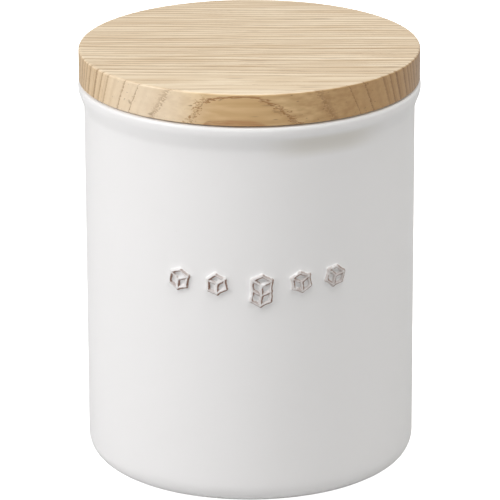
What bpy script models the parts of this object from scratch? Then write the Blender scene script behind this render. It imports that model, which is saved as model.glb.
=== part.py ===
"""Sugar bowl: a straight-sided glazed stoneware jar with a flat ash lid.

The lid is a round board with a smaller plug glued under it. The plug carries a
soft ring in a groove, which seals against the mouth of the jar.

Frame: metres, +Z up, origin at the centre of the circle the jar stands on.
The front, where a row of sugar lumps stands out of the wall, faces -Y.
"""

import math

import bmesh
import bpy
from mathutils import Vector

# ---- Driving dimensions, in metres ----

BODY_RADIUS = 0.0476        # outside of the straight wall
JAR_HEIGHT = 0.1134         # standing surface to the top of the rim
WALL = 0.0046
FLOOR_TOP = 0.0060          # inside floor, above the standing surface
FLOOR_ROUND = 0.0040        # hollow corner between floor and wall

RIM_PROUD = 0.00165         # the rim bead stands this far out of the wall
BEAD_DROP = 0.0027          # rim top to the bead's shoulder
BEAD_TAPER = 0.0045         # shoulder to where the bead has faded into the wall
SHOULDER_ROUND = 0.0050
TAPER_ROUND = 0.0060
RIM_ROUND = 0.0009          # inner edge of the rim's top
BEAD_ROUND = 0.0014         # outer edge of the rim's top

BASE_ROUND = 0.0060         # outer corner at the bottom
FOOT_INNER_RADIUS = 0.0360  # inside of the ring that the jar stands on
FOOT_DEPTH = 0.0012         # the underside is recessed this far inside that ring
FOOT_ROUND = 0.0006

LID_RADIUS = 0.0490
LID_THICKNESS = 0.0093
LID_ROUND = 0.0010          # upper edge of the board
LID_ROUND_BELOW = 0.0003    # lower edge of the board
LID_SEAT = 0.0003           # the ring holds the board this far above the rim

GAP = 0.0003                # clearance between pieces that touch
PLUG_RADIUS = 0.0406
PLUG_HEIGHT = 0.0090
PLUG_BEVEL = 0.0010         # lower edge of the plug
GROOVE_TOP = 0.0020         # plug top to the groove
GROOVE_HEIGHT = 0.0050
GROOVE_DEPTH = 0.0018

SEAL_BAND = 0.0013          # thickness of the ring's inner band
FIN_ROOT = 0.0012           # height of a fin where it leaves the band
FIN_TIP = 0.0006            # height of a fin at its tip
FIN_RISE = 0.0004           # how far a fin's tip stands above its root
FIN_COUNT = 2

RELIEF_PROUD = 0.0009       # the sugar lumps stand this far out of the wall
RELIEF_SUNK = 0.0008        # and reach this far into it
STROKE = 0.0007             # width of the raised line inside each face of a lump
BAND_HEIGHT = 0.0672        # middle of the row of lumps

TURN_STEPS = 96             # sides of every turned piece
ARC_STEP = math.radians(30) # coarsest step along a rounded corner

# Each mark in the row: angle round the jar in degrees (0 is the front, positive
# towards +X), middle above BAND_HEIGHT, edge of a lump, lean in degrees, and
# how many lumps stand in the stack.
LUMP_MARKS = (
    (-24.6, 0.0002, 0.0033, -9.0, 1),
    (-11.3, -0.0003, 0.0032, 5.0, 1),
    (3.8, -0.0020, 0.0034, -3.0, 2),
    (17.4, -0.0001, 0.0032, 7.0, 1),
    (29.9, 0.0004, 0.0032, -12.0, 1),
)

LID_BOTTOM = JAR_HEIGHT + LID_SEAT
PLUG_TOP = LID_BOTTOM - GAP
MOUTH_RADIUS = BODY_RADIUS - WALL


# ---- Scene and materials ----

def clear_scene():
    for obj in list(bpy.data.objects):
        bpy.data.objects.remove(obj)


def make_material(name, colour, roughness):
    material = bpy.data.materials.new(name)
    material.use_nodes = True
    shader = material.node_tree.nodes["Principled BSDF"]
    shader.inputs["Base Color"].default_value = (*colour, 1.0)
    shader.inputs["Roughness"].default_value = roughness
    shader.inputs["Metallic"].default_value = 0.0
    return material


# ---- Turned shapes ----

def rounded(corners):
    """Outline through (radius, height, rounding) corners, each rounding drawn as an arc."""
    points = []
    for i, (radius, height, rounding) in enumerate(corners):
        corner = Vector((radius, height))
        if not rounding:
            points.append(corner)
            continue
        back = (Vector(corners[i - 1][:2]) - corner).normalized()
        ahead = (Vector(corners[(i + 1) % len(corners)][:2]) - corner).normalized()
        half = back.angle(ahead) / 2
        centre = corner + (back + ahead).normalized() * rounding / math.sin(half)
        first = (corner + back * rounding / math.tan(half) - centre).normalized()
        last = (corner + ahead * rounding / math.tan(half) - centre).normalized()
        steps = max(2, math.ceil((math.pi - 2 * half) / ARC_STEP))
        for k in range(steps + 1):
            points.append(centre + rounding * first.slerp(last, k / steps))
    return points


def turned_mesh(name, outline, ring=False):
    """Solid of revolution about Z. A ring joins its outline's ends, and any other is capped."""
    bm = bmesh.new()
    verts = [bm.verts.new((radius, 0, height)) for radius, height in outline]
    edges = [bm.edges.new(pair) for pair in zip(verts, verts[1:])]
    if ring:
        edges.append(bm.edges.new((verts[-1], verts[0])))
    bmesh.ops.spin(
        bm, geom=verts + edges, axis=(0, 0, 1), cent=(0, 0, 0),
        angle=math.tau, steps=TURN_STEPS, use_merge=True,
    )
    bmesh.ops.holes_fill(bm, edges=bm.edges, sides=0)
    bmesh.ops.recalc_face_normals(bm, faces=bm.faces)
    return finished_mesh(name, bm)


def finished_mesh(name, bm):
    mesh = bpy.data.meshes.new(name)
    bm.to_mesh(mesh)
    bm.free()
    mesh.shade_smooth()
    mesh.set_sharp_from_angle(angle=math.radians(35))
    return mesh


def add_object(name, mesh, material, height=0.0, parent=None):
    """Adds a piece with its origin on the jar's axis, at the given height."""
    obj = bpy.data.objects.new(name, mesh)
    bpy.context.scene.collection.objects.link(obj)
    if material:
        mesh.materials.append(material)
    obj.parent = parent
    obj.location.z = height
    return obj


# ---- Jar ----

def jar_outline():
    """From the inside floor up the wall, over the rim, down the outside and under the foot."""
    rim_radius = BODY_RADIUS + RIM_PROUD
    shoulder = JAR_HEIGHT - BEAD_DROP
    return rounded([
        (MOUTH_RADIUS - 2 * FLOOR_ROUND, FLOOR_TOP, 0),
        (MOUTH_RADIUS, FLOOR_TOP, FLOOR_ROUND),
        (MOUTH_RADIUS, JAR_HEIGHT, RIM_ROUND),
        (rim_radius, JAR_HEIGHT, BEAD_ROUND),
        (rim_radius, shoulder, SHOULDER_ROUND),
        (BODY_RADIUS, shoulder - BEAD_TAPER, TAPER_ROUND),
        (BODY_RADIUS, 0, BASE_ROUND),
        (FOOT_INNER_RADIUS, 0, FOOT_ROUND),
        (FOOT_INNER_RADIUS, FOOT_DEPTH, FOOT_ROUND),
        (FOOT_INNER_RADIUS - 2 * FOOT_ROUND, FOOT_DEPTH, 0),
    ])


def lump_faces(edge, stack):
    """The faces of a stack of cubes seen from a corner, each as (corner, side, side)."""
    right = Vector((math.cos(math.radians(30)), 0.5)) * edge
    left = Vector((-right.x, right.y))
    down = Vector((0, -edge))
    near_corner = down * (1 - stack) / 2
    faces = [(near_corner, right, left)]
    for storey in range(stack):
        faces.append((near_corner + down * storey, left, down))
        faces.append((near_corner + down * storey, down, right))
    return faces


def add_face_frame(bm, corner, side_a, side_b):
    """A flat frame of four strips along the inside of one face of a lump."""
    inset = STROKE / math.sin(side_a.angle(side_b))
    step_a = side_a.normalized() * inset
    step_b = side_b.normalized() * inset
    outer = [corner, corner + side_a, corner + side_a + side_b, corner + side_b]
    inner = [
        outer[0] + step_a + step_b,
        outer[1] - step_a + step_b,
        outer[2] - step_a - step_b,
        outer[3] + step_a - step_b,
    ]
    outer = [bm.verts.new((p.x, p.y, 0)) for p in outer]
    inner = [bm.verts.new((p.x, p.y, 0)) for p in inner]
    for k in range(4):
        m = (k + 1) % 4
        bm.faces.new((outer[k], outer[m], inner[m], inner[k]))


def relief_mesh():
    """The row of sugar lumps as raised outlines, wrapped round the wall."""
    bm = bmesh.new()
    for angle, rise, edge, lean, stack in LUMP_MARKS:
        start = len(bm.verts)
        for corner, side_a, side_b in lump_faces(edge, stack):
            add_face_frame(bm, corner, side_a, side_b)
        bm.verts.ensure_lookup_table()
        turn = math.radians(lean)
        for vert in bm.verts[start:]:
            x, y = vert.co.x, vert.co.y
            vert.co.x = x * math.cos(turn) - y * math.sin(turn) + BODY_RADIUS * math.radians(angle)
            vert.co.y = x * math.sin(turn) + y * math.cos(turn) + BAND_HEIGHT + rise
    bmesh.ops.remove_doubles(bm, verts=bm.verts, dist=STROKE / 10)
    raised = bmesh.ops.extrude_face_region(bm, geom=bm.faces[:], use_keep_orig=True)
    for item in raised["geom"]:
        if isinstance(item, bmesh.types.BMVert):
            item.co.z = RELIEF_PROUD + RELIEF_SUNK
    for vert in bm.verts:
        around = vert.co.x / BODY_RADIUS
        radius = BODY_RADIUS - RELIEF_SUNK + vert.co.z
        vert.co = (radius * math.sin(around), -radius * math.cos(around), vert.co.y)
    bmesh.ops.recalc_face_normals(bm, faces=bm.faces)
    return finished_mesh("relief", bm)


def make_jar(glaze):
    jar = add_object("jar", turned_mesh("jar", jar_outline()), glaze)
    relief = add_object("relief_shape", relief_mesh(), None)
    relief.hide_render = True
    relief.display_type = "WIRE"
    union = jar.modifiers.new("relief", "BOOLEAN")
    union.operation = "UNION"
    union.solver = "EXACT"
    union.object = relief
    return jar


# ---- Lid ----

def make_lid_board(ash, lid):
    inset = LID_RADIUS - 4 * LID_ROUND
    outline = rounded([
        (inset, LID_THICKNESS, 0),
        (LID_RADIUS, LID_THICKNESS, LID_ROUND),
        (LID_RADIUS, 0, LID_ROUND_BELOW),
        (inset, 0, 0),
    ])
    return add_object("lid_board", turned_mesh("lid_board", outline), ash, parent=lid)


def make_lid_plug(ash, lid):
    """Heights here count down from the plug's top, which is glued to the board."""
    inner = PLUG_RADIUS - GROOVE_DEPTH
    groove_bottom = GROOVE_TOP + GROOVE_HEIGHT
    outline = [
        (PLUG_RADIUS, 0),
        (PLUG_RADIUS, -GROOVE_TOP),
        (inner, -GROOVE_TOP),
        (inner, -groove_bottom),
        (PLUG_RADIUS, -groove_bottom),
        (PLUG_RADIUS, PLUG_BEVEL - PLUG_HEIGHT),
        (PLUG_RADIUS - PLUG_BEVEL, -PLUG_HEIGHT),
    ]
    mesh = turned_mesh("lid_plug", outline)
    return add_object("lid_plug", mesh, ash, height=-GAP, parent=lid)


def make_seal_ring(silicone):
    """A band that sits in the groove, with thin fins that reach for the jar's wall."""
    inner = PLUG_RADIUS - GROOVE_DEPTH + GAP
    outer = inner + SEAL_BAND
    tip = MOUTH_RADIUS - GAP
    height = GROOVE_HEIGHT - 2 * GAP
    pitch = height / FIN_COUNT
    outline = [(inner, 0), (outer, 0)]
    for fin in range(FIN_COUNT):
        middle = -pitch * (fin + 0.5)
        outline += [
            (outer, middle + FIN_ROOT / 2),
            (tip, middle + FIN_RISE + FIN_TIP / 2),
            (tip, middle + FIN_RISE - FIN_TIP / 2),
            (outer, middle - FIN_ROOT / 2),
        ]
    outline += [(outer, -height), (inner, -height)]
    mesh = turned_mesh("seal_ring", outline, ring=True)
    return add_object("seal_ring", mesh, silicone, height=PLUG_TOP - GROOVE_TOP - GAP)


def main():
    clear_scene()
    glaze = make_material("white_glaze", (0.80, 0.80, 0.78), 0.22)
    ash = make_material("ash_wood", (0.71, 0.55, 0.36), 0.55)
    silicone = make_material("clear_silicone", (0.78, 0.78, 0.76), 0.40)

    make_jar(glaze)
    lid = bpy.data.objects.new("lid", None)
    bpy.context.scene.collection.objects.link(lid)
    lid.location.z = LID_BOTTOM
    make_lid_board(ash, lid)
    make_lid_plug(ash, lid)
    make_seal_ring(silicone)
    bpy.context.view_layer.update()


main()
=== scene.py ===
"""Looks of the sugar bowl: the glazed jar, the ash lid, and the light, floor and camera around them.

Metres, +Z up. The jar stands on Z = 0 round the Z axis, and its front faces -Y.
"""

import math

import bmesh
import bpy
import numpy as np
from mathutils import Euler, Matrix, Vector, noise


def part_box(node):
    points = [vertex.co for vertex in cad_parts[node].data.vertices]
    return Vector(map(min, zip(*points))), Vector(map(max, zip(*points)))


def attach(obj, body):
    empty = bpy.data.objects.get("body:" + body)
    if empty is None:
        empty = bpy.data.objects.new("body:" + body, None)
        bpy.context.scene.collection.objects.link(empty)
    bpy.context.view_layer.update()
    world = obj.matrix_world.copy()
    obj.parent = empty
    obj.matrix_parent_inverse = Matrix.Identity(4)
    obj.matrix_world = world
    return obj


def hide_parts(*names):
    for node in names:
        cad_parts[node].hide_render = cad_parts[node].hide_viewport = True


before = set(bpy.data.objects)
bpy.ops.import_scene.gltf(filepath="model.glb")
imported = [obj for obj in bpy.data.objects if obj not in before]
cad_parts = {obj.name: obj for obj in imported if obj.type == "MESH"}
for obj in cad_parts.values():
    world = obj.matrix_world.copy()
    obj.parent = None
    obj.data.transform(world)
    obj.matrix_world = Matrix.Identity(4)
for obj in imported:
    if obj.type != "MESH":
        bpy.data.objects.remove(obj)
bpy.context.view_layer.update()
JAR_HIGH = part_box("jar")[1]
BOARD_LOW, BOARD_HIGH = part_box("lid_board")
PLUG_LOW, PLUG_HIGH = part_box("lid_plug")

MILLIMETRE = 0.001

# ---- Jar, sized from the frame ----

RIM_RADIUS = JAR_HIGH.x
RIM_PROUD = 0.00165          # the rim bead stands this far out of the wall
BODY_RADIUS = RIM_RADIUS - RIM_PROUD
JAR_HEIGHT = JAR_HIGH.z
WALL = 0.0046
MOUTH_RADIUS = BODY_RADIUS - WALL
FLOOR_TOP = 0.0060           # inside floor, above the standing surface
FLOOR_ROUND = 0.0040
BEAD_DROP = 0.0027           # rim top to the bead's shoulder
BEAD_TAPER = 0.0045          # shoulder to where the bead has faded into the wall
SHOULDER_ROUND = 0.0050
TAPER_ROUND = 0.0045
RIM_ROUND = 0.0009           # inner edge of the rim's top
BEAD_ROUND = 0.0014          # outer edge of the rim's top
BASE_ROUND = 0.0060
FOOT_INNER_RADIUS = 0.0360   # inside of the ring that the jar stands on
FOOT_DEPTH = 0.0012          # the underside is recessed this far inside that ring
FOOT_ROUND = 0.0006

GLAZE_WAVE = 0.000012        # unevenness of the outer surface
GLAZE_WAVE_LENGTH = 0.022

# ---- Raised sugar lumps ----

BAND_HEIGHT = 0.0672         # middle of the row of lumps
LUMP_MARKS = (               # angle, rise, edge, lean and stack, as in the CAD source
    (-24.6, 0.0002, 0.0033, -9.0, 1),
    (-11.3, -0.0003, 0.0032, 5.0, 1),
    (3.8, -0.0020, 0.0034, -3.0, 2),
    (17.4, -0.0001, 0.0032, 7.0, 1),
    (29.9, 0.0004, 0.0032, -12.0, 1),
)
STROKE_INSET = 0.88          # the strokes' centre lines, against the outline of the lump
STROKE_TOP = 0.00016         # half width of a stroke's crown
STROKE_FOOT = 0.00074        # half width of a stroke where it meets the wall
STROKE_PROUD = 0.00065
STROKE_BLEND = 0.00010       # how softly strokes run into each other
GLAZE_PILE = 0.00025         # glaze gathered round a stroke
GLAZE_PILE_REACH = 0.00115
SHADED_FLANK_TURN, SHADED_FLANK_FALL = 0.9, 0.5   # painted shade: the brown is leant onto the strokes' right and lower flanks, where their shade falls
STROKE_WAVER = 0.00010       # unsteadiness of the hand that laid the strokes
WAVER_RATE = 2 * math.pi / 0.0047
WAVER_UNLIKE = 0.83          # the upward waver comes this many times as often as the sideways one
WAVER_SKEWS = (310, 420)
NO_STROKE_NEAR = 0.01        # distances to a stroke are counted up to here

FINE_FROM, FINE_TO = -32.0, 37.0   # degrees round the jar that carry the lumps
FINE_TURN, COARSE_TURN = 0.22, 2.0   # degrees between the columns of the mesh, there and elsewhere
FINE_RISE, COARSE_RISE, INSIDE_RISE = 0.00018, 0.0020, 0.0040   # metres between its rows
BAND_REACH = 0.0100          # the rows are fine this far above and below the lumps' middle
ARC_STEP = math.radians(9)   # coarsest step along a rounded corner

# Painted shade under the bead, to the right of the front, where the lid and bead overhang the wall.
UNDER_BEAD_SHADE_FROM, UNDER_BEAD_SHADE_TO = 0.1030, 0.1102   # heights
UNDER_BEAD_SHADE_TURN = 0.48        # radians round the jar to the band's middle
UNDER_BEAD_SHADE_FULL, UNDER_BEAD_SHADE_REACH = 0.10, 0.48    # radians from there to where it fades and ends

# ---- Ash plank that the lid is turned from ----

LID_ROUND = 0.0006           # upper edge of the board
LID_ROUND_BELOW = 0.0003
PLUG_BEVEL = 0.0010
GROOVE_TOP = 0.0020          # plug top to the groove
GROOVE_HEIGHT = 0.0050
GROOVE_DEPTH = 0.0018
RING_TILT = 0.289            # the growth rings lean back by this much
RING_SKEW = 0.030            # and turn by this much
WIDE_RATE = 190.0            # rings in a metre at the front, where they are wide
FINE_RATE = 425.0            # and further back
WIDE_EDGE = -0.0270          # where the wide rings end
WIDE_BLEND = 0.0050
FIRST_RING = -0.04663        # depth of the ring that shows as an arch on the front
ARCH_FLATNESS = -1.10        # left of its top, the arch bends away from the lid's curve by this much
ARCH_SHOULDER, ARCH_REACH = 0.0102, 0.0154
ARCH_DEPTH = 0.0060
UNEVEN_RINGS = 0.22          # their spacing varies by up to this much of a ring
UNEVEN_RATE = 610
UNEVEN_REACH = 0.14
LONG_SWAY, LONG_SWAY_RATE, LONG_SWAY_START = 0.0003, 55, 0.6   # the rings waver along the plank
SHORT_SWAY, SHORT_SWAY_RATES = 0.0002, (130, 40)
RUN_MOST = 0.20              # rings crossed in a millimetre along the side, counted up to here
RUN_ON_FACES = 0.01
GRAIN_RELIEF = 0.00005       # pore lines lie this deep
GRAIN_SHARPNESS = 4          # the power that narrows a wave to a line
BOARD_STEP = 0.0006          # metres between the rows of the board's mesh
BOARD_TURN = 0.75            # and degrees between its columns

# ---- Colours ----

GLAZE_WHITE, GLAZE_CLOUD = (0.842, 0.832, 0.833), (0.839, 0.828, 0.827)
# painted shade under the bead, to the right of the front
GLAZE_PAINTED_SHADE = (0.85, 0.83, 0.78)
# brown of the broken glaze, also laid as painted shade on the strokes' shaded flanks
GLAZE_BREAK_AND_SHADE = (0.19, 0.080, 0.036)
GLAZE_SPECK = (0.45, 0.36, 0.28)
CLAY_PALE, CLAY_DARK = (0.60, 0.50, 0.39), (0.46, 0.37, 0.28)
ASH_PALE, ASH_STREAK = (0.816, 0.685, 0.503), (0.643, 0.493, 0.319)
# painted sheen on the left of the lid's side
ASH_PAINTED_SHEEN = (0.86, 0.75, 0.62)
ASH_HEART = (0.55, 0.37, 0.19)
ASH_LATE = (0.46, 0.305, 0.155)
ASH_CORE = (0.40, 0.20, 0.09)
ASH_PORE = (0.28, 0.145, 0.05)
ASH_ARCH = (0.37, 0.195, 0.072)
ASH_FLECK = (0.24, 0.15, 0.08)
ASH_MARK = (0.28, 0.18, 0.10)
# the sides are tinted darker and more golden, so the top stays paler as painted sheen
ASH_SIDE_TINT = (0.94, 0.80, 0.575)
# darker and browner towards the right of the lid's side
ASH_RIGHT_TINT = (0.62, 0.50, 0.37)
ASH_FAR_TINT = (0.70, 0.66, 0.62)
SILICONE_CLEAR, SILICONE_HAZE = (0.80, 0.80, 0.77), (0.70, 0.70, 0.67)

# ---- Patterns in the materials ----

# Noise scales. Those of the wood are for along the plank, and twice for across it.
CLOUD_SCALE, RAGGED_SCALE, PATCH_SCALE = 60.0, 900.0, 400.0
SPECK_SCALE, GRIT_SCALE, PEEL_SCALE = 150.0, 2200.0, 260.0
HAZE_SCALE, MOULD_SCALE = 160.0, 1500.0
FIBRES = (110.0, 2600.0, 2600.0)
STREAKS = (30.0, 720.0, 720.0)
NEEDLES = (160.0, 2300.0, 2300.0)
FLECKS = (75.0, 1500.0, 1500.0)
MARKS = (55.0, 460.0, 460.0)

PEEL_DEPTH, GRIT_DEPTH, PORE_DEPTH, MOULD_DEPTH = 0.000001, 0.00005, 0.00004, 0.00001
CLAY_UP_TO, GLAZE_WHOLE_FROM = 0.00018, 0.00030   # heights above the standing surface
GLAZE_END_RAGGED = 0.00008                        # and how far the glaze's edge strays from them
WIDE_RINGS_TO, FINE_RINGS_FROM = 2.8, 4.2         # ring counts
CORE_FROM, CORE_TO = -0.70, -0.50                 # ring counts within the arch

# ---- View ----

CAMERA_AWAY = 1.1731
CAMERA_ABOVE_LID = 0.3391
CAMERA_PITCH = math.radians(18.88)
CAMERA_ROLL = math.radians(-0.187)
CAMERA_LENS = 306.5

# ---- Studio ----

FLOOR_SIZE = 8.0
CARD_DROP = 0.0002                   # the bounce card lies this far under the floor
FLOOR_TONE, FLOOR_GLOW = 0.92, 1.0
CARD_TONE, CARD_GLOW = 0.60, 0.05
TENT_GLOW = 0.40
TENT_LEAN = (0.093, 0.143, 0.075)    # brighter to the right, behind and above
TENT_SIDES = 0.20
TENT_LEFT, TENT_RIGHT = (1.0, 0.994, 0.994), (1.0, 0.996, 0.955)
LAMPS = (                            # name, degrees round from the front, rise, distance, size, power
    ("key", -66, 33, 1.2, 0.6, 7.4),
    ("overhead", 25, 72, 1.2, 0.7, 6.9),
)


# ---- Node helper ----

class Graph:
    """Adds nodes to one node tree, and sets or links their inputs."""

    def __init__(self, tree):
        self.tree = tree

    def node(self, kind, inputs=None, **settings):
        node = self.tree.nodes.new(kind)
        for key, value in settings.items():
            setattr(node, key, value)
        for socket, value in (inputs or {}).items():
            self.feed(node.inputs[socket], value)
        return node

    def feed(self, socket, value):
        if isinstance(value, bpy.types.NodeSocket):
            self.tree.links.new(value, socket)
        else:
            socket.default_value = value

    def math(self, operation, a, b=0.0):
        return self.node("ShaderNodeMath", {0: a, 1: b}, operation=operation).outputs[0]

    def add(self, a, b):
        return self.math("ADD", a, b)

    def multiply(self, a, b):
        return self.math("MULTIPLY", a, b)

    def coordinates(self, output="Object"):
        return self.node("ShaderNodeTexCoord").outputs[output]

    def attribute(self, name):
        return self.node("ShaderNodeAttribute", attribute_name=name).outputs["Fac"]

    def split(self, vector):
        return self.node("ShaderNodeSeparateXYZ", {0: vector}).outputs

    def noise(self, vector, scale, detail=2.0, roughness=0.5):
        inputs = {"Vector": vector, "Scale": scale, "Detail": detail, "Roughness": roughness}
        return self.node("ShaderNodeTexNoise", inputs).outputs["Fac"]

    def grain(self, vector, scales, detail, roughness=0.5):
        """Noise with a scale for each direction, so that it is drawn out along the plank."""
        scaled = self.node("ShaderNodeVectorMath", {0: vector, 1: scales}, operation="MULTIPLY")
        return self.noise(scaled.outputs[0], 1.0, detail, roughness)

    def remap(self, value, low, high, to_low=0.0, to_high=1.0, smooth=False):
        kind = "SMOOTHSTEP" if smooth else "LINEAR"
        inputs = {"Value": value, "From Min": low, "From Max": high, "To Min": to_low, "To Max": to_high}
        return self.node("ShaderNodeMapRange", inputs, interpolation_type=kind).outputs["Result"]

    def ramp(self, factor, stops):
        node = self.node("ShaderNodeValToRGB", {"Fac": factor})
        elements = node.color_ramp.elements
        while len(elements) < len(stops):
            elements.new(1.0)
        for element, (position, value) in zip(elements, stops):
            element.position = position
            element.color = (value, value, value, 1.0)
        return node.outputs["Color"]

    def mix(self, factor, a, b, blend="MIX"):
        node = self.node("ShaderNodeMix", data_type="RGBA", blend_type=blend)
        self.feed(node.inputs["Factor"], factor)
        for socket, colour in ((node.inputs[6], a), (node.inputs[7], b)):
            if isinstance(colour, bpy.types.NodeSocket):
                self.feed(socket, colour)
            else:
                self.feed(socket, (*colour, 1.0))
        return node.outputs[2]

    def bump(self, height, distance, normal=None):
        inputs = {"Height": height, "Distance": distance, "Strength": 1.0}
        if normal:
            inputs["Normal"] = normal
        return self.node("ShaderNodeBump", inputs).outputs["Normal"]


def new_material(name):
    """A material with its graph helper and its main shader."""
    material = bpy.data.materials.new(name)
    material.use_nodes = True
    graph = Graph(material.node_tree)
    return material, graph, material.node_tree.nodes["Principled BSDF"]


# ---- Turned grids ----

def rounded(corners):
    """Outline through (radius, height, rounding) corners, each rounding drawn as an arc."""
    points = []
    for i, (radius, height, rounding) in enumerate(corners):
        corner = Vector((radius, height))
        if not rounding:
            points.append(corner)
            continue
        back = (Vector(corners[i - 1][:2]) - corner).normalized()
        ahead = (Vector(corners[i + 1][:2]) - corner).normalized()
        half = back.angle(ahead) / 2
        centre = corner + (back + ahead).normalized() * rounding / math.sin(half)
        first = (corner + back * rounding / math.tan(half) - centre).normalized()
        last = (corner + ahead * rounding / math.tan(half) - centre).normalized()
        steps = max(3, math.ceil((math.pi - 2 * half) / ARC_STEP))
        for k in range(steps + 1):
            points.append(centre + rounding * first.slerp(last, k / steps))
    return points


def refined(points, step_at):
    """Adds points along the straight runs of an outline, as far apart as step_at says."""
    fine = []
    for start, end in zip(points, points[1:]):
        position = start
        ahead = (end - start).normalized()
        while (end - position).length > 1.5 * step_at(position):
            fine.append(position)
            position = position + ahead * step_at(position)
        fine.append(position)
    return fine + [points[-1]]


def turned_grid(outline, angles):
    """Radius, height and angle of every point of a turned shape, as arrays of rows and columns."""
    radius = np.array([p.x for p in outline])[:, None] * np.ones(len(angles))
    height = np.array([p.y for p in outline])[:, None] * np.ones(len(angles))
    around = np.radians(angles)[None, :] * np.ones(len(outline))[:, None]
    return radius, height, around


def grid_positions(radius, height, around):
    return np.stack([radius * np.sin(around), -radius * np.cos(around), height], axis=-1)


def grid_object(name, positions, attributes):
    """Closed mesh from a grid of rows and columns, whose first and last rows are capped by a fan."""
    rows, columns = positions.shape[:2]
    points = positions.reshape(-1, 3)
    poles = [positions[0].mean(axis=0), positions[-1].mean(axis=0)]
    row, column = np.mgrid[0:rows - 1, 0:columns]
    after = (column + 1) % columns
    quads = np.stack([
        row * columns + column, row * columns + after,
        (row + 1) * columns + after, (row + 1) * columns + column,
    ], axis=-1).reshape(-1, 4)
    first_pole = rows * columns
    last_row = (rows - 1) * columns
    fans = []
    for c in range(columns):
        d = (c + 1) % columns
        fans.append((first_pole, d, c))
        fans.append((first_pole + 1, last_row + c, last_row + d))
    mesh = bpy.data.meshes.new(name)
    mesh.from_pydata(np.vstack([points, poles]).tolist(), [], quads.tolist() + fans)
    mesh.shade_smooth()
    for key, values in attributes.items():
        ends = [values[0].mean(), values[-1].mean()]
        attribute = mesh.attributes.new(key, "FLOAT", "POINT")
        attribute.data.foreach_set("value", np.append(values.ravel(), ends).astype(np.float32))
    add_grid_map(mesh, rows, columns)
    obj = bpy.data.objects.new(name, mesh)
    bpy.context.scene.collection.objects.link(obj)
    return obj


def add_grid_map(mesh, rows, columns):
    """A map that gives each cell of the grid the same room, so the fine cells get the most."""
    row, column = np.mgrid[0:rows - 1, 0:columns]
    u = np.stack([column, column + 1, column + 1, column], axis=-1) / columns
    v = (np.stack([row, row, row + 1, row + 1], axis=-1) + 1) / (rows + 1)
    cells = np.stack([u, v], axis=-1).reshape(-1, 2)
    low, high = 1 / (rows + 1), rows / (rows + 1)
    fans = []
    for c in range(columns):
        start, middle, end = c / columns, (c + 0.5) / columns, (c + 1) / columns
        fans += [(middle, 0.0), (end, low), (start, low)]
        fans += [(middle, 1.0), (start, high), (end, high)]
    layer = mesh.uv_layers.new(name="OFBake")
    layer.uv.foreach_set("vector", np.vstack([cells, fans]).astype(np.float32).ravel())


# ---- Jar ----

def jar_outline():
    """From the inside floor up the wall, over the rim, down the outside and under the foot."""
    shoulder = JAR_HEIGHT - BEAD_DROP
    return rounded([
        (FLOOR_ROUND, FLOOR_TOP, 0),
        (MOUTH_RADIUS, FLOOR_TOP, FLOOR_ROUND),
        (MOUTH_RADIUS, JAR_HEIGHT, RIM_ROUND),
        (RIM_RADIUS, JAR_HEIGHT, BEAD_ROUND),
        (RIM_RADIUS, shoulder, SHOULDER_ROUND),
        (BODY_RADIUS, shoulder - BEAD_TAPER, TAPER_ROUND),
        (BODY_RADIUS, 0, BASE_ROUND),
        (FOOT_INNER_RADIUS, 0, FOOT_ROUND),
        (FOOT_INNER_RADIUS, FOOT_DEPTH, FOOT_ROUND),
        (FLOOR_ROUND, FOOT_DEPTH, 0),
    ])


def jar_step(point):
    if point.x < MOUTH_RADIUS + RIM_ROUND:
        return INSIDE_RISE
    if abs(point.y - BAND_HEIGHT) < BAND_REACH:
        return FINE_RISE
    return COARSE_RISE


def jar_angles():
    """Close together where the lumps are, and further apart on the rest of the way round."""
    fine = np.linspace(FINE_FROM, FINE_TO, round((FINE_TO - FINE_FROM) / FINE_TURN), endpoint=False)
    rest = 360 - (FINE_TO - FINE_FROM)
    coarse = np.linspace(FINE_TO, FINE_TO + rest, round(rest / COARSE_TURN), endpoint=False)
    return np.concatenate([fine, coarse])


def lump_edges(edge, stack):
    """The edges of a stack of cubes seen from a corner, each once, as pairs of points."""
    right = Vector((math.cos(math.radians(30)), 0.5)) * edge
    left = Vector((-right.x, right.y))
    down = Vector((0, -edge))
    near_corner = down * (1 - stack) / 2
    faces = [(near_corner, right, left)]
    for storey in range(stack):
        faces.append((near_corner + down * storey, left, down))
        faces.append((near_corner + down * storey, down, right))
    edges = {}
    for corner, side_a, side_b in faces:
        ring = [corner, corner + side_a, corner + side_a + side_b, corner + side_b]
        for start, end in zip(ring, ring[1:] + ring[:1]):
            key = frozenset((round(p.x, 6), round(p.y, 6)) for p in (start, end))
            edges[key] = (start, end)
    return list(edges.values())


def stroke_distance(across, up):
    """Distance from each point of the unrolled wall to the nearest stroke of a lump."""
    across = across + STROKE_WAVER * np.sin(up * WAVER_RATE + across * WAVER_SKEWS[0])
    up = up + STROKE_WAVER * np.sin(across * WAVER_RATE * WAVER_UNLIKE + up * WAVER_SKEWS[1])
    closeness = np.zeros_like(across)
    for angle, rise, edge, lean, stack in LUMP_MARKS:
        x = across - BODY_RADIUS * math.radians(angle)
        y = up - BAND_HEIGHT - rise
        turn = math.radians(lean)
        x, y = x * math.cos(turn) + y * math.sin(turn), y * math.cos(turn) - x * math.sin(turn)
        for start, end in lump_edges(edge * STROKE_INSET, stack):
            run = end - start
            along = ((x - start.x) * run.x + (y - start.y) * run.y) / run.length_squared
            along = np.clip(along, 0, 1)
            gap = np.hypot(x - start.x - along * run.x, y - start.y - along * run.y)
            closeness += np.exp(-gap / STROKE_BLEND)
    return -STROKE_BLEND * np.log(np.maximum(closeness, 1e-30))


def smooth_step(value):
    value = np.clip(value, 0, 1)
    return value * value * (3 - 2 * value)


def wave(radius, height, around):
    """Soft unevenness, never outward, from noise on the jar's surface."""
    positions = grid_positions(radius, height, around).reshape(-1, 3) / GLAZE_WAVE_LENGTH
    values = [noise.noise(p) for p in positions.tolist()]
    return (np.array(values).reshape(radius.shape) - 1) / 2 * GLAZE_WAVE


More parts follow.
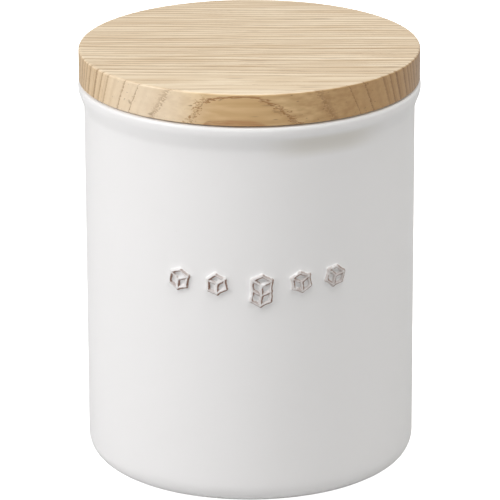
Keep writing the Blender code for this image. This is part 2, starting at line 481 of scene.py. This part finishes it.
def make_jar(glaze):
    outline = refined(jar_outline(), jar_step)
    radius, height, around = turned_grid(outline, jar_angles())
    outside = (radius > BODY_RADIUS - BASE_ROUND / 2) & (height > BASE_ROUND / 2)
    across = BODY_RADIUS * np.where(around > math.pi, around - math.tau, around)
    gap = np.where(outside, stroke_distance(across, height), NO_STROKE_NEAR)
    crown = smooth_step((STROKE_FOOT - gap) / (STROKE_FOOT - STROKE_TOP)) * STROKE_PROUD
    pile = np.exp(-(np.maximum(gap, 0) / GLAZE_PILE_REACH) ** 2) * GLAZE_PILE
    radius = radius + outside * (wave(radius, height, around) + crown + pile)
    near = np.minimum(gap, NO_STROKE_NEAR)
    across_slope = np.gradient(near, axis=1) / (BODY_RADIUS * math.radians(FINE_TURN))
    up_slope = np.gradient(near, axis=0) / FINE_RISE
    # Painted shade: how far each point lies on the strokes' right and lower flanks, which the light does
    # not reach.
    shaded_flank = np.clip(0.5 + 0.5 * SHADED_FLANK_TURN * across_slope + 0.5 * SHADED_FLANK_FALL * up_slope, 0, 1)
    jar = grid_object("jar_glazed", grid_positions(radius, height, around), {"stroke": near, "shaded_flank": shaded_flank})
    jar.data.materials.append(glaze)
    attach(jar, "jar")
    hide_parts("jar")


# ---- Lid ----

def ring_phase(x, y, z):
    """Counts the growth rings through the plank. Whole numbers are the dark pore lines."""
    sway = LONG_SWAY * np.sin(x * LONG_SWAY_RATE + LONG_SWAY_START)
    sway = sway + SHORT_SWAY * np.sin(x * SHORT_SWAY_RATES[0] + y * SHORT_SWAY_RATES[1])
    depth = y + RING_SKEW * x + RING_TILT * (z - BOARD_LOW.z) + sway
    aside = np.maximum(-x - RING_SKEW * BOARD_HIGH.x, 0)
    flat = ARCH_FLATNESS * aside ** 2 / (2 * BOARD_HIGH.x)
    flat *= smooth_step((ARCH_REACH - aside) / (ARCH_REACH - ARCH_SHOULDER))
    depth = depth + flat * np.exp((-BOARD_HIGH.x - depth) / ARCH_DEPTH)

    def count(at):
        opened = WIDE_BLEND * np.log1p(np.exp((at - WIDE_EDGE) / WIDE_BLEND))
        beyond = at - FIRST_RING
        uneven = UNEVEN_RINGS * np.sin(beyond * UNEVEN_RATE) * np.exp(-(beyond / UNEVEN_REACH) ** 2)
        return WIDE_RATE * at + (FINE_RATE - WIDE_RATE) * opened + uneven

    return count(depth) - count(FIRST_RING)


def wood_object(name, node, outline, step, ash):
    """A turned piece of the plank, with the pore lines sunk into it."""
    angles = np.arange(0, 360, BOARD_TURN)
    radius, height, around = turned_grid(refined(outline, lambda point: step), angles)
    positions = grid_positions(radius, height, around)
    rings = ring_phase(*np.moveaxis(positions, -1, 0))
    line = np.cos(math.tau * rings) / 2 + 0.5
    face_radius = radius.max() - LID_ROUND
    apart = np.maximum(radius * math.radians(BOARD_TURN), 1e-6)
    run = np.abs(np.gradient(rings, axis=1)) / apart * MILLIMETRE
    run = np.where(radius > face_radius, np.minimum(run, RUN_MOST), RUN_ON_FACES)
    middle = np.array([0, 0, (outline[0].y + outline[-1].y) / 2])
    on_face = (radius < face_radius)[..., None]
    outward = np.where(on_face, (positions - middle) * (0, 0, 1), positions * (1, 1, 0))
    outward /= np.maximum(np.linalg.norm(outward, axis=-1, keepdims=True), 1e-9)
    positions = positions - outward * line[..., None] ** GRAIN_SHARPNESS * GRAIN_RELIEF
    piece = grid_object(name, positions, {"ring": rings, "run": run})
    piece.data.materials.append(ash)
    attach(piece, "lid")
    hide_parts(node)


def make_lid(ash):
    radius = BOARD_HIGH.x
    board = rounded([
        (LID_ROUND, BOARD_LOW.z, 0),
        (radius, BOARD_LOW.z, LID_ROUND_BELOW),
        (radius, BOARD_HIGH.z, LID_ROUND),
        (LID_ROUND, BOARD_HIGH.z, 0),
    ])
    wood_object("lid_board_ash", "lid_board", board, BOARD_STEP, ash)
    radius = PLUG_HIGH.x
    top = PLUG_HIGH.z
    plug = [Vector(point) for point in (
        (PLUG_BEVEL, PLUG_LOW.z),
        (radius - PLUG_BEVEL, PLUG_LOW.z),
        (radius, PLUG_LOW.z + PLUG_BEVEL),
        (radius, top - GROOVE_TOP - GROOVE_HEIGHT),
        (radius - GROOVE_DEPTH, top - GROOVE_TOP - GROOVE_HEIGHT),
        (radius - GROOVE_DEPTH, top - GROOVE_TOP),
        (radius, top - GROOVE_TOP),
        (radius, top),
        (PLUG_BEVEL, top),
    )]
    wood_object("lid_plug_ash", "lid_plug", plug, 2 * BOARD_STEP, ash)


# ---- Materials ----

def white_glaze():
    """White glaze that breaks to brown on the strokes' edges, with bare clay where the jar stands. The
    brown is laid mostly on the strokes' right and lower flanks as painted shade, and a band of painted
    shade lies under the bead.
    """
    material, graph, shader = new_material("white_glaze_fired")
    place = graph.coordinates()
    cloud = graph.noise(place, CLOUD_SCALE, 2.0)
    colour = graph.mix(graph.remap(cloud, 0.25, 0.75), GLAZE_WHITE, GLAZE_CLOUD)

    x, y, height = graph.split(place)
    around = graph.math("ARCTAN2", x, graph.multiply(y, -1.0))
    aside = graph.math("ABSOLUTE", graph.add(around, -UNDER_BEAD_SHADE_TURN))
    # Painted shade: a grey band under the bead, strongest to the right of the front.
    painted_shade_band = graph.ramp(graph.remap(height, UNDER_BEAD_SHADE_FROM, UNDER_BEAD_SHADE_TO), (
        (0.0, 0.0), (0.35, 0.85), (0.65, 1.0), (0.82, 0.9), (1.0, 0.0),
    ))
    painted_shade_band = graph.multiply(painted_shade_band, graph.remap(aside, UNDER_BEAD_SHADE_REACH, UNDER_BEAD_SHADE_FULL, smooth=True))
    colour = graph.mix(painted_shade_band, colour, GLAZE_PAINTED_SHADE, "MULTIPLY")

    stroke = graph.attribute("stroke")
    millimetres = graph.multiply(stroke, 1000.0)
    ragged = graph.noise(place, RAGGED_SCALE, 3.0, 0.6)
    edge = graph.add(millimetres, graph.remap(ragged, 0.3, 0.7, -0.10, 0.10))
    thin = graph.ramp(edge, ((0.0, 0.25), (0.10, 0.60), (0.20, 1.0), (0.46, 1.0), (0.62, 0.0)))
    patches = graph.remap(graph.noise(place, PATCH_SCALE, 2.0), 0.32, 0.45)
    # The brown of the broken glaze is real; laying most of it on the shaded flanks is painted shade.
    shaded_flank = graph.attribute("shaded_flank")
    bared = graph.remap(around, -0.40, 0.45, 0.12, 0.46)
    exposed_and_shaded = graph.multiply(patches, graph.remap(shaded_flank, 0.30, 0.75, bared, 1.0))
    broken_and_shaded = graph.multiply(graph.multiply(thin, exposed_and_shaded), 0.92)
    colour = graph.mix(broken_and_shaded, colour, GLAZE_BREAK_AND_SHADE)

    specks = graph.node("ShaderNodeTexVoronoi", {"Vector": place, "Scale": SPECK_SCALE})
    near = graph.remap(specks.outputs["Distance"], 0.045, 0.02)
    chosen = graph.math("GREATER_THAN", graph.split(specks.outputs["Color"])[0], 0.90)
    colour = graph.mix(graph.multiply(graph.multiply(near, chosen), 0.10), colour, GLAZE_SPECK)

    fired_edge = graph.add(height, graph.remap(ragged, 0.3, 0.7, -GLAZE_END_RAGGED, GLAZE_END_RAGGED))
    bare = graph.remap(fired_edge, GLAZE_WHOLE_FROM, CLAY_UP_TO)
    grit = graph.noise(place, GRIT_SCALE, 3.0, 0.7)
    clay = graph.mix(graph.remap(grit, 0.35, 0.65), CLAY_PALE, CLAY_DARK)
    graph.feed(shader.inputs["Base Color"], graph.mix(bare, colour, clay))

    gloss = graph.remap(cloud, 0.2, 0.8, 0.275, 0.285)
    dulled = graph.add(gloss, graph.multiply(broken_and_shaded, 0.25))
    graph.feed(shader.inputs["Roughness"], graph.add(dulled, graph.multiply(bare, 0.65)))
    shader.inputs["Specular IOR Level"].default_value = 0.35
    peel = graph.bump(graph.noise(place, PEEL_SCALE, 1.0), PEEL_DEPTH)
    graph.feed(shader.inputs["Normal"], graph.bump(graph.multiply(grit, bare), GRIT_DEPTH, peel))
    return material


class AshFields:
    """What the parts of the ash material share: place, rings, fibres and which way the wood faces."""

    def __init__(self, graph):
        self.place = graph.coordinates()
        self.rings = graph.attribute("ring")
        self.facing = graph.split(graph.coordinates("Normal"))
        self.fibres = graph.grain(self.place, FIBRES, 3.0, 0.6)
        ragged = graph.add(self.rings, graph.remap(self.fibres, 0.3, 0.7, -0.05, 0.05))
        self.part = graph.math("FRACT", ragged)
        self.count = graph.math("FLOOR", ragged)
        self.wide = graph.remap(self.rings, WIDE_RINGS_TO, FINE_RINGS_FROM, 1.0, 0.0)
        self.side = graph.remap(self.facing[2], 0.85, 0.45)
        # Painted sheen: the left of the side, facing the key light, is painted paler.
        self.painted_sheen_left = graph.multiply(self.side, graph.ramp(graph.remap(self.facing[0], -1.0, 0.0), (
            (0.0, 0.0), (0.05, 0.25), (0.22, 0.85), (0.42, 1.0), (0.58, 0.85), (0.80, 0.15), (1.0, 0.0),
        )))


def pale_wood(graph, ash):
    """Streaked along the grain, painted paler on the left of the side as sheen, and browner inside the
    first ring.
    """
    end_grain = graph.remap(graph.math("ABSOLUTE", ash.facing[0]), 0.25, 0.80, smooth=True)
    streaks = graph.grain(ash.place, STREAKS, 2.0)
    along = graph.multiply(streaks, graph.math("SUBTRACT", 1.0, graph.multiply(end_grain, 0.7)))
    along = graph.add(along, graph.multiply(end_grain, 0.35))
    colour = graph.mix(graph.remap(along, 0.36, 0.64), ASH_PALE, ASH_STREAK)
    colour = graph.mix(graph.multiply(ash.painted_sheen_left, 0.65), colour, ASH_PAINTED_SHEEN)
    heart = graph.remap(ash.rings, -0.03, 0.03, 1.0, 0.0)
    return graph.mix(graph.multiply(heart, 0.45), colour, ASH_HEART)


def late_wood(graph, ash, colour):
    """Soft brown beside each pore line, a second softer line, and the dark core of the arch."""
    soft = graph.ramp(ash.part, ((0.0, 0.50), (0.14, 0.20), (0.34, 0.0), (0.86, 0.0), (1.0, 0.1)))
    second = graph.ramp(ash.part, ((0.30, 0.0), (0.44, 0.42), (0.56, 0.0)))
    late = graph.add(
        graph.multiply(soft, graph.remap(ash.wide, 0.0, 1.0, 1.0, 0.30)),
        graph.multiply(second, graph.remap(ash.wide, 0.0, 1.0, 1.0, 0.2)),
    )
    colour = graph.mix(late, colour, ASH_LATE)
    core = graph.ramp(graph.remap(ash.rings, CORE_FROM, CORE_TO), (
        (0.0, 0.5), (0.30, 1.0), (0.58, 0.9), (0.72, 0.2), (0.9, 0.0),
    ))
    return graph.mix(graph.multiply(core, graph.remap(ash.fibres, 0.3, 0.7, 0.3, 0.8)), colour, ASH_CORE)


def pore_lines(graph, ash):
    """How dark the open pores are: a line at the start of each ring, stronger in some than in others."""
    line = graph.multiply(ash.part, graph.add(graph.multiply(ash.wide, 4.0), 1.0))
    pores = graph.ramp(line, ((0.0, 1.0), (0.16, 0.85), (0.28, 0.25), (0.38, 0.0)))
    chance = graph.node("ShaderNodeTexWhiteNoise", {"W": ash.count}, noise_dimensions="1D").outputs["Value"]
    by_fibre = graph.remap(ash.fibres, 0.35, 0.60, 0.45, 1.0)
    return graph.multiply(pores, graph.multiply(graph.remap(chance, 0.0, 1.0, 0.5, 1.0), by_fibre))


def arch_line(graph, ash):
    """The first ring's ragged band, as wide where it runs along the side as where it crosses it."""
    needles = graph.grain(ash.place, NEEDLES, 2.0, 0.6)
    run = graph.attribute("run")
    arch = graph.add(ash.rings, graph.multiply(graph.remap(needles, 0.3, 0.7, -2.4, 1.8), run))
    arch = graph.math("DIVIDE", arch, graph.add(run, 0.03))
    return graph.ramp(graph.remap(arch, -0.25, 1.25), (
        (0.08, 0.0), (0.17, 0.95), (0.50, 0.85), (0.72, 0.3), (0.95, 0.0),
    ))


def stained(graph, ash, colour):
    """Small dark flecks and longer marks along the grain."""
    flecks = graph.remap(graph.grain(ash.place, FLECKS, 1.0), 0.72, 0.78)
    colour = graph.mix(graph.multiply(flecks, 0.6), colour, ASH_FLECK)
    marks = graph.remap(graph.grain(ash.place, MARKS, 1.0), 0.74, 0.80)
    return graph.mix(graph.multiply(marks, 0.55), colour, ASH_MARK)


def side_tones(graph, ash, colour):
    """Tints the side darker and more golden than the top, so the top stays paler as painted sheen, except
    on the left where the painted sheen lies. The side grows darker and browner towards its right, and
    greyer where it faces along the grain at either end.
    """
    # Painted sheen: the top is left paler than the side; on the left the side's tint is eased where the
    # painted sheen lies.
    tinted = graph.math("SUBTRACT", ash.side, graph.multiply(ash.painted_sheen_left, 0.62))
    colour = graph.mix(tinted, colour, ASH_SIDE_TINT, "MULTIPLY")
    # Darker and browner towards the right of the side.
    right_darkening = graph.multiply(graph.remap(ash.facing[0], -0.06, 0.60, smooth=True), ash.side)
    colour = graph.mix(graph.multiply(right_darkening, 0.80), colour, ASH_RIGHT_TINT, "MULTIPLY")
    far_end = graph.remap(graph.math("ABSOLUTE", ash.facing[0]), 0.80, 1.0)
    return graph.mix(graph.multiply(far_end, 0.45), colour, ASH_FAR_TINT, "MULTIPLY")


def ash_wood():
    """Ash, seen along and across the grain, under a satin oil."""
    material, graph, shader = new_material("ash_wood_oiled")
    ash = AshFields(graph)
    colour = late_wood(graph, ash, pale_wood(graph, ash))
    pores = pore_lines(graph, ash)
    colour = graph.mix(graph.multiply(pores, 0.82), colour, ASH_PORE)
    colour = graph.mix(graph.multiply(arch_line(graph, ash), 0.95), colour, ASH_ARCH)
    colour = side_tones(graph, ash, stained(graph, ash, colour))
    graph.feed(shader.inputs["Base Color"], colour)

    graph.feed(shader.inputs["Roughness"], graph.remap(ash.fibres, 0.3, 0.7, 0.36, 0.48))
    shader.inputs["Coat Weight"].default_value = 0.25
    shader.inputs["Coat Roughness"].default_value = 0.28
    grain = graph.add(graph.multiply(ash.fibres, 0.5), graph.multiply(pores, -1.0))
    graph.feed(shader.inputs["Normal"], graph.bump(grain, PORE_DEPTH))
    return material


def clear_silicone():
    """Milky silicone with a faint haze and mould texture."""
    material, graph, shader = new_material("clear_silicone_moulded")
    place = graph.coordinates()
    haze = graph.noise(place, HAZE_SCALE, 3.0)
    graph.feed(shader.inputs["Base Color"], graph.mix(haze, SILICONE_CLEAR, SILICONE_HAZE))
    graph.feed(shader.inputs["Roughness"], graph.remap(haze, 0.3, 0.7, 0.32, 0.46))
    shader.inputs["Subsurface Weight"].default_value = 0.35
    shader.inputs["Subsurface Scale"].default_value = 0.002
    graph.feed(shader.inputs["Normal"], graph.bump(graph.noise(place, MOULD_SCALE, 2.0), MOULD_DEPTH))
    return material


def matte(name, tone, glow):
    """Plain studio surface, which can also glow by itself."""
    material, graph, shader = new_material(name)
    mottle = graph.noise(graph.coordinates(), 6.0, 3.0)
    graph.feed(shader.inputs["Base Color"], graph.mix(mottle, (tone,) * 3, (tone * 0.97,) * 3))
    shader.inputs["Roughness"].default_value = 0.8
    shader.inputs["Emission Color"].default_value = (1.0, 1.0, 1.0, 1.0)
    shader.inputs["Emission Strength"].default_value = glow
    return material


# ---- Studio ----

def add_sheet(name, height, material):
    bm = bmesh.new()
    half = FLOOR_SIZE / 2
    corners = [(-half, -half), (half, -half), (half, half), (-half, half)]
    bm.faces.new([bm.verts.new((x, y, height)) for x, y in corners])
    mesh = bpy.data.meshes.new(name)
    bm.to_mesh(mesh)
    bm.free()
    mesh.materials.append(material)
    sheet = bpy.data.objects.new(name, mesh)
    bpy.context.scene.collection.objects.link(sheet)
    return sheet


def make_floor():
    """A white floor, over a duller card that sends the light back up to the jar."""
    floor = add_sheet("floor", 0.0, matte("white_floor", FLOOR_TONE, FLOOR_GLOW))
    floor.visible_diffuse = False
    floor.visible_glossy = False
    floor.visible_shadow = False
    card = add_sheet("bounce_card", -CARD_DROP, matte("bounce_card", CARD_TONE, CARD_GLOW))
    card.visible_camera = False


def make_world():
    """A light tent: brighter overhead and behind the jar than in front of it."""
    world = bpy.data.worlds.new("tent")
    world.use_nodes = True
    bpy.context.scene.world = world
    graph = Graph(world.node_tree)
    direction = graph.coordinates("Generated")
    lean = graph.node("ShaderNodeVectorMath", {0: direction, 1: TENT_LEAN}, operation="DOT_PRODUCT")
    across = graph.split(direction)[0]
    sides = graph.multiply(graph.multiply(across, across), TENT_SIDES)
    glow = graph.add(graph.add(lean.outputs["Value"], TENT_GLOW), sides)
    seen = graph.node("ShaderNodeLightPath").outputs["Is Camera Ray"]
    strength = graph.add(graph.multiply(glow, graph.math("SUBTRACT", 1.0, seen)), seen)
    background = world.node_tree.nodes["Background"]
    warmth = graph.mix(graph.remap(across, -1.0, 1.0), TENT_LEFT, TENT_RIGHT)
    graph.feed(background.inputs["Color"], graph.mix(seen, warmth, (1.0, 1.0, 1.0)))
    graph.feed(background.inputs["Strength"], strength)


def add_softbox(name, towards, elevation, distance, size, power):
    """A square lamp, placed by the direction it shines from, and aimed at the jar's middle."""
    lamp = bpy.data.lights.new(name, "AREA")
    lamp.shape = "SQUARE"
    lamp.size = size
    lamp.energy = power
    light = bpy.data.objects.new(name, lamp)
    bpy.context.scene.collection.objects.link(light)
    around, up = math.radians(towards), math.radians(elevation)
    away = Vector((math.cos(up) * math.sin(around), -math.cos(up) * math.cos(around), math.sin(up)))
    light.location = away * distance + Vector((0, 0, JAR_HEIGHT / 2))
    light.rotation_euler = away.to_track_quat("Z", "Y").to_euler()


def make_camera():
    data = bpy.data.cameras.new("camera")
    data.lens = CAMERA_LENS
    data.sensor_width = 36.0
    data.clip_end = 20.0
    camera = bpy.data.objects.new("camera", data)
    bpy.context.scene.collection.objects.link(camera)
    camera.location = (0, -CAMERA_AWAY, BOARD_HIGH.z + CAMERA_ABOVE_LID)
    aim = Euler((math.pi / 2 - CAMERA_PITCH, 0, 0)).to_matrix() @ Euler((0, 0, CAMERA_ROLL)).to_matrix()
    camera.rotation_euler = aim.to_euler()
    bpy.context.scene.camera = camera


def main():
    make_camera()
    make_world()
    make_floor()
    for lamp in LAMPS:
        add_softbox(*lamp)
    make_jar(white_glaze())
    make_lid(ash_wood())
    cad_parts["seal_ring"].material_slots[0].material = clear_silicone()
    bpy.context.scene.view_settings.view_transform = "Standard"


main()
